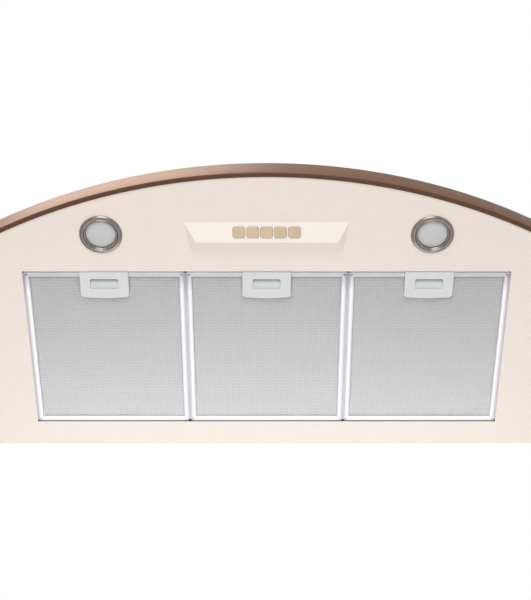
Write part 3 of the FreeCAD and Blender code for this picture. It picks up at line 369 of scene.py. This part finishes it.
def softened(node, width, body, least=0.0, angle=35, taper=0.0):
    """A CAD node's copy with rounded edges, standing for the node; its rear ends may taper."""
    end_zone = 5 * MM
    facet = 20 * MM * MM
    working = bmesh.new()
    working.from_mesh(frame["nodes"][node].data)
    low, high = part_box(node)
    for vertex in working.verts:
        at_end = not low.x + end_zone < vertex.co.x < high.x - end_zone
        if at_end and vertex.co.y > high.y - end_zone:
            vertex.co.x -= math.copysign(taper, vertex.co.x)
    bmesh.ops.remove_doubles(working, verts=working.verts, dist=1e-6)
    bmesh.ops.dissolve_limit(working, angle_limit=math.radians(0.5), verts=working.verts,
                             edges=working.edges, use_dissolve_boundaries=False)
    limit = math.radians(angle)
    picked = [edge for edge in working.edges if len(edge.link_faces) == 2
              and edge.calc_face_angle(0) > limit and edge.calc_length() > least]
    bmesh.ops.bevel(working, geom=picked, offset=width, segments=3, profile=0.5, affect="EDGES",
                    clamp_overlap=True)
    mesh = bpy.data.meshes.new(f"{node}_look")
    working.to_mesh(mesh)
    working.free()
    add_piece(f"{node}_look", mesh, body, SLOTS[node], (node,), sharp=40)
    for face in mesh.polygons:
        face.use_smooth = face.area < facet


# ---------------------------------------------------------------- rail
def rail_piece():
    """The bronze strip around the sides and the bowed front, edges rolled, its underside painted
    darker as shade.
    """
    roll = 2.2 * MM
    straight = 20 * MM
    facing_down = -0.6
    low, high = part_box("front_rail")
    side_low, side_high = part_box("side_rail_right")
    half = high.x
    side_front = side_low.y
    sagitta = side_front - low.y
    radius = (half**2 + sagitta**2) / (2 * sagitta)
    reach = math.degrees(math.asin(half / radius))
    bow = round_corner((0, low.y + radius), radius, -90 - reach, -90 + reach, 120)
    path = [(-half, side_high.y), (-half, side_front + straight), *bow,
            (half, side_front + straight), (half, side_high.y)]
    inner = min(7.3 * MM, half - side_low.x)
    upper = round_corner((roll, high.z - roll), roll, 90, 180, 5)
    lower = round_corner((roll, low.z + roll), roll, 180, 270, 5)
    mesh = sweep("rail", [(inner, high.z), *upper, *lower, (inner, low.z)], path)
    add_piece("rail", mesh, "hood", "bronze_trim",
              ("front_rail", "side_rail_left", "side_rail_right"), extra=("bronze_underside_painted_shade",))
    # painted shade: faces turned downwards take the dark bronze
    for face in mesh.polygons:
        if face.normal.z < facing_down:
            face.material_index = 1


# ---------------------------------------------------------------- filters
PITCH = 3.0 * MM
WIRE = 0.42 * MM
TONGUE = 6 * MM
FRAME_LOW, FRAME_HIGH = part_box("filter_frame_centre")
HANDLE_LOW, HANDLE_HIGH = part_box("filter_handle_centre")
FRAME_REAR = FRAME_HIGH.y - TONGUE
NOTCH = HANDLE_HIGH.x + 0.3 * MM


def wire_tube(points, side):
    """Vertices and faces of a thin four-sided wire through points; side is its flat direction."""
    count = len(points)
    up = np.array((0.0, 0.0, 1.0))
    ring = np.stack([side, up, -side, -up]) * WIRE
    vertices = (points[:, None, :] + ring[None, :, :]).reshape(-1, 3)
    index = np.arange(count - 1)[:, None] * 4
    corner = np.arange(4)[None, :]
    after = (corner + 1) % 4
    faces = np.stack([index + corner, index + after, index + 4 + after, index + 4 + corner], axis=-1)
    return vertices, faces.reshape(-1, 4)


def woven_mesh(name, low, high, hole, level):
    """Over-and-under wires that fill a rectangle except for the handle's hole."""
    across = np.linspace(low[0], high[0], int(round((high[0] - low[0]) / PITCH)) + 1)
    along = np.linspace(low[1], high[1], int(round((high[1] - low[1]) / PITCH)) + 1)
    hole_half, hole_rear = hole
    parts = []
    for row, y in enumerate(along):
        heights = level + WIRE * np.where((np.arange(len(across)) + row) % 2 == 0, 1, -1)
        runs = [np.ones(len(across), bool)]
        if y < hole_rear:
            runs = [across < -hole_half, across > hole_half]
        for keep in runs:
            line = np.stack([across[keep], np.full(keep.sum(), y), heights[keep]], axis=1)
            parts.append(wire_tube(line, np.array((0.0, 1.0, 0.0))))
    for column, x in enumerate(across):
        heights = level - WIRE * np.where((np.arange(len(along)) + column) % 2 == 0, 1, -1)
        keep = along > hole_rear if abs(x) < hole_half else np.ones(len(along), bool)
        line = np.stack([np.full(keep.sum(), x), along[keep], heights[keep]], axis=1)
        parts.append(wire_tube(line, np.array((1.0, 0.0, 0.0))))
    vertices, faces, start = [], [], 0
    for tube_vertices, tube_faces in parts:
        vertices.append(tube_vertices)
        faces.append(tube_faces + start)
        start += len(tube_vertices)
    vertices = np.concatenate(vertices)
    faces = np.concatenate(faces)
    mesh = bpy.data.meshes.new(name)
    mesh.vertices.add(len(vertices))
    mesh.vertices.foreach_set("co", vertices.ravel())
    mesh.loops.add(faces.size)
    mesh.loops.foreach_set("vertex_index", faces.ravel())
    mesh.polygons.add(len(faces))
    mesh.polygons.foreach_set("loop_start", np.arange(0, faces.size, 4))
    mesh.update(calc_edges=True)
    return mesh


def bead_mesh():
    """A filter's frame as a rounded bead with a flat outer lip, and the numbers of the lip's faces,
    which take painted shade.
    """
    overlap = 0.4 * MM
    border = 9.5 * MM + overlap
    lip = 2.3 * MM
    cut = 2.0 * MM
    wall = 1.2 * MM
    fullness = 0.8
    flange_top = UNDERSIDE + 3 * MM
    shelf = FRAME_HIGH.z - 2 * MM
    top = FRAME_HIGH.z
    middle = (border + lip) / 2
    bead = [(middle - (border - lip) / 2 * math.cos(math.radians(turn)),
             UNDERSIDE + lip - lip * math.sin(math.radians(turn)) ** fullness)
            for turn in range(0, 181, 12)]
    profile = [(0, top), (0, UNDERSIDE + lip), *bead, (border, flange_top), (wall, flange_top),
               (wall, shelf), (border, shelf), (border, top)]

    front, rear, half = FRAME_LOW.y - overlap, FRAME_REAR + overlap / 2, FRAME_HIGH.x + overlap
    ends = [Vector(spot) for spot in ((NOTCH, front), (half, front), (half, rear), (-half, rear),
                                      (-half, front), (-NOTCH, front))]
    path = [ends[0]]
    for before, here, after in zip(ends, ends[1:], ends[2:]):
        path += [here + (before - here).normalized() * 2 * cut, here,
                 here + (after - here).normalized() * 2 * cut]
    path.append(ends[-1])
    mesh = sweep("filter_bead", profile, path)
    for index in range(2, len(path), 3):
        across = -cut if path[index].x > 0 else cut
        deeper = cut if path[index].y < (FRAME_LOW.y + FRAME_REAR) / 2 else -cut
        for vertex in mesh.vertices[index * len(profile):index * len(profile) + 2]:
            vertex.co += Vector((across, deeper, 0))
    lip_side = 1
    return mesh, range(lip_side, len(mesh.polygons), len(profile))


def backing_and_weave():
    """The sheet behind a filter's wires, with a notch for the handle, and the woven wires."""
    edge = 1.5 * MM
    corner = 6 * MM
    rise = 2.7 * MM
    rise_half = 31.5 * MM
    thickness = 2 * MM
    half = FRAME_HIGH.x - edge
    front, rear = FRAME_LOW.y + edge, FRAME_REAR - edge
    arch = HANDLE_HIGH.y - rise
    outline = [(-half, front), (-NOTCH, front), (-NOTCH, arch - corner)]
    outline += round_corner((-NOTCH + corner, arch - corner), corner, 180, 112, 4)
    outline += [(x * MM, HANDLE_HIGH.y + 0.3 * MM - rise * (x * MM / rise_half) ** 2)
                for x in range(-28, 29, 7)]
    outline += round_corner((NOTCH - corner, arch - corner), corner, 68, 0, 4)
    outline += [(NOTCH, arch - corner), (NOTCH, front), (half, front), (half, rear), (-half, rear)]
    low = UNDERSIDE + 5 * MM
    sheet = new_mesh("filter_backing", *prism([(x, y, low) for x, y in outline],
                                              [(x, y, low + thickness) for x, y in outline]))
    wires = woven_mesh("filter_weave", (-half, front), (half, rear),
                       (NOTCH, HANDLE_HIGH.y + 0.2 * MM), low - 2 * WIRE)
    return sheet, wires


def latch_shape():
    """A slider with a nose in front and a sloping finger face, and the number of the slope's deep
    front face, which takes painted shade.
    """
    low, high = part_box("filter_latch_centre")
    finger = 23 * MM
    nose = 12 * MM
    left, right = low.x + 1 * MM, high.x - 1 * MM
    slot_front = HANDLE_LOW.y + 12.5 * MM
    shoulder = slot_front - 9 * MM
    back = slot_front + 1 * MM
    side = [(slot_front, high.z), (slot_front, high.z - 2.4 * MM),
            (slot_front + 4 * MM, low.z + 3 * MM), (slot_front + 8 * MM, low.z + 0.4 * MM),
            (slot_front + 9.5 * MM, low.z), (high.y, low.z), (high.y, high.z)]
    vertices, faces = prism([(-finger, y, z) for y, z in side], [(finger, y, z) for y, z in side])
    plate = [(left, shoulder), (-nose, shoulder), (-nose, low.y), (nose, low.y), (nose, shoulder),
             (right, shoulder), (right, back), (left, back)]
    plate_vertices, plate_faces = prism([(x, y, high.z - 2.5 * MM) for x, y in plate],
                                        [(x, y, high.z - 0.1 * MM) for x, y in plate],
                                        len(vertices))
    ends, slope_side = 2, 1
    mesh = new_mesh("latch_slider", vertices + plate_vertices, faces + plate_faces)
    return mesh, ends + slope_side


def filter_pieces():
    """Beaded frame, backing sheet, woven mesh, handle and latch of the three filters."""
    frame_mesh, shaded_lip_faces = bead_mesh()
    sheet, wires = backing_and_weave()
    slider, shaded_face = latch_shape()
    for side in ("left", "centre", "right"):
        low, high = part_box(f"filter_frame_{side}")
        place = ((low.x + high.x) / 2, 0, 0)
        body = f"filter_{side}"
        beaded = add_piece(f"frame_{side}", frame_mesh.copy(), body, "filter_aluminium",
                           (f"filter_frame_{side}",), place, extra=("filter_lip_painted_shade",))
        # painted shade: the lip faces take the darker lip material
        for index in shaded_lip_faces:
            beaded.data.polygons[index].material_index = 1
        add_piece(f"backing_{side}", sheet.copy(), body, "filter_backing",
                  (f"filter_mesh_{side}",), place)
        add_piece(f"weave_{side}", wires.copy(), body, "filter_mesh",
                  (f"filter_mesh_{side}",), place, sharp=180)
        softened(f"filter_handle_{side}", 0.7 * MM, body)
        latch = add_piece(f"latch_{side}", slider.copy(), f"latch_{side}", "latch_plastic",
                          (f"filter_latch_{side}",), place, extra=("latch_painted_shade",))
        # painted shade on the deep front of the finger slope
        latch.data.polygons[shaded_face].material_index = 1


# ---------------------------------------------------------------- lamps
def bezel_mesh(lens_radius):
    """The lamp ring: a rolled rim, a crown, an inner bead and a sleeve round the lens."""
    low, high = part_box("lamp_ring_left")
    outer = (high.x - low.x) / 2
    sleeve = lens_radius + 0.3 * MM
    neck = 24.6 * MM
    top = high.z - UNDERSIDE

    def below(steps):
        """Profile points from (in from the rim, down from the panel) pairs in millimetres."""
        return [(outer - inward * MM, -down * MM) for inward, down in steps]

    profile = [(outer, 0), *below([(0, 0.7), (0.5, 1.6), (1.6, 2.4), (3.2, 3.2)]),
               (outer - 4.6 * MM, low.z - UNDERSIDE),
               *below([(5.8, 3.3), (6.5, 2.5), (6.9, 2.1), (7.3, 2.4), (8.0, 3.0), (8.8, 2.9)]),
               (sleeve + 0.3 * MM, -2.0 * MM), (sleeve, -1.0 * MM), (sleeve, top), (neck, top),
               (neck, 0)]
    return lathe("ring_profile", profile)


def lens_mesh(radius):
    """The frosted lens, flat in the middle and curving up to its edge."""
    lowest, rise, back = -1.6 * MM, 2.2 * MM, 2.4 * MM
    flatness = 2.6
    dome = [(0, lowest)]
    for index in range(1, 13):
        share = index / 12
        dome.append((radius * share, lowest + rise * share**flatness))
    return lathe("lens_profile", [*dome, (radius, back), (0, back)], closed=False)


def lamp_pieces():
    """Bezel and lens of the two lamps."""
    lens_low, lens_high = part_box("lamp_lens_left")
    lens_radius = (lens_high.x - lens_low.x) / 2
    bezel = bezel_mesh(lens_radius)
    lens = lens_mesh(lens_radius)
    for side in ("left", "right"):
        low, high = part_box(f"lamp_ring_{side}")
        place = ((low.x + high.x) / 2, (low.y + high.y) / 2, UNDERSIDE)
        add_piece(f"bezel_{side}", bezel.copy(), "hood", "chrome_ring", (f"lamp_ring_{side}",),
                  place, sharp=50)
        add_piece(f"lens_{side}", lens.copy(), "hood", "frosted_glass", (f"lamp_lens_{side}",),
                  place, sharp=40)


rail_piece()
filter_pieces()
lamp_pieces()
softened("control_housing", 0.7 * MM, "hood", least=8 * MM, angle=8, taper=8 * MM)
for number in range(1, 6):
    softened(f"button_{number}", 0.5 * MM, f"push_button_{number}")


# ---------------------------------------------------------------- stage, light and camera
def stage():
    """A pale floor well below the hood."""
    size = 9.0
    level = -3.4
    mesh = bpy.data.meshes.new("floor")
    mesh.from_pydata([(-size, -size, level), (size, -size, level), (size, size, level),
                      (-size, size, level)], [], [(0, 1, 2, 3)])
    floor = bpy.data.objects.new("floor", mesh)
    bpy.context.scene.collection.objects.link(floor)
    finish_material("floor_paint", linear(242, 241, 239), 0.8, 30, 0.01)
    dress(floor, "floor_paint")


def surroundings():
    """White backdrop; the light itself is a soft studio, brighter at front left and rear right."""
    dim, bright = 0.49, 1.12
    edge = 0.4
    world = bpy.data.worlds.new("studio")
    world.use_nodes = True
    tree = world.node_tree
    tree.nodes.clear()
    output = tree.nodes.new("ShaderNodeOutputWorld")
    backdrop = tree.nodes.new("ShaderNodeBackground")
    backdrop.inputs["Color"].default_value = (1, 1, 1, 1)
    studio = tree.nodes.new("ShaderNodeBackground")
    source = tree.nodes.new("ShaderNodeTexCoord")
    parts = tree.nodes.new("ShaderNodeSeparateXYZ")
    tree.links.new(source.outputs["Generated"], parts.inputs["Vector"])
    product = tree.nodes.new("ShaderNodeMath")
    product.operation = "MULTIPLY"
    tree.links.new(parts.outputs["X"], product.inputs[0])
    tree.links.new(parts.outputs["Y"], product.inputs[1])
    level = tree.nodes.new("ShaderNodeMapRange")
    level.inputs["From Min"].default_value = -edge
    level.inputs["From Max"].default_value = edge
    level.inputs["To Min"].default_value = dim
    level.inputs["To Max"].default_value = bright
    tree.links.new(product.outputs[0], level.inputs["Value"])
    tree.links.new(level.outputs["Result"], studio.inputs["Strength"])
    path = tree.nodes.new("ShaderNodeLightPath")
    choose = tree.nodes.new("ShaderNodeMixShader")
    tree.links.new(path.outputs["Is Camera Ray"], choose.inputs["Fac"])
    tree.links.new(studio.outputs["Background"], choose.inputs[1])
    tree.links.new(backdrop.outputs["Background"], choose.inputs[2])
    tree.links.new(choose.outputs["Shader"], output.inputs["Surface"])
    bpy.context.scene.world = world


def area_light(name, spot, target, size, power, beam=180):
    """A rectangular lamp aimed at a target; power in watts, beam in degrees."""
    data = bpy.data.lights.new(name, "AREA")
    data.shape = "RECTANGLE"
    data.size, data.size_y = size
    data.energy = power
    data.spread = math.radians(beam)
    light = bpy.data.objects.new(name, data)
    light.location = spot
    light.rotation_euler = (Vector(target) - Vector(spot)).to_track_quat("-Z", "Y").to_euler()
    bpy.context.scene.collection.objects.link(light)


def lights():
    """Large soft lamps below the front and the rear, and one above."""
    area_light("key_front", (-0.2, -1.7, -1.4), (0, -0.1, -0.16), (1.4, 0.8), power=10)
    area_light("low_front", (-0.1, -2.2, -0.95), (0, -0.1, -0.16), (1.0, 0.45), power=11)
    area_light("low_rear", (0, 1.5, -1.0), (0, -0.2, -0.16), (1.4, 0.5), power=6)
    area_light("fill_rear", (0, 0.3, -1.1), (0, 0.22, -0.16), (1.5, 0.3), power=0.55, beam=60)
    area_light("top_soft", (-0.9, -1.2, 1.5), (0, 0, 0), (1.5, 1.5), power=22)


def photo_camera():
    """Below and in front of the hood, looking up at its underside."""
    spot = (-0.0017, -1.3731, -2.0506)
    climb = math.radians(56.5)
    data = bpy.data.cameras.new("photo_camera")
    data.sensor_width = 36
    data.lens = 87.42
    data.clip_end = 50
    camera = bpy.data.objects.new("photo_camera", data)
    forward = Vector((0, math.cos(climb), math.sin(climb)))
    upward = Vector((0, -math.sin(climb), math.cos(climb)))
    rotation = Matrix((Vector((1, 0, 0)), upward, -forward)).transposed()
    camera.matrix_world = Matrix.Translation(spot) @ rotation.to_4x4()
    bpy.context.scene.collection.objects.link(camera)
    bpy.context.scene.camera = camera


stage()
surroundings()
lights()
photo_camera()
bpy.context.scene.view_settings.view_transform = "Standard"
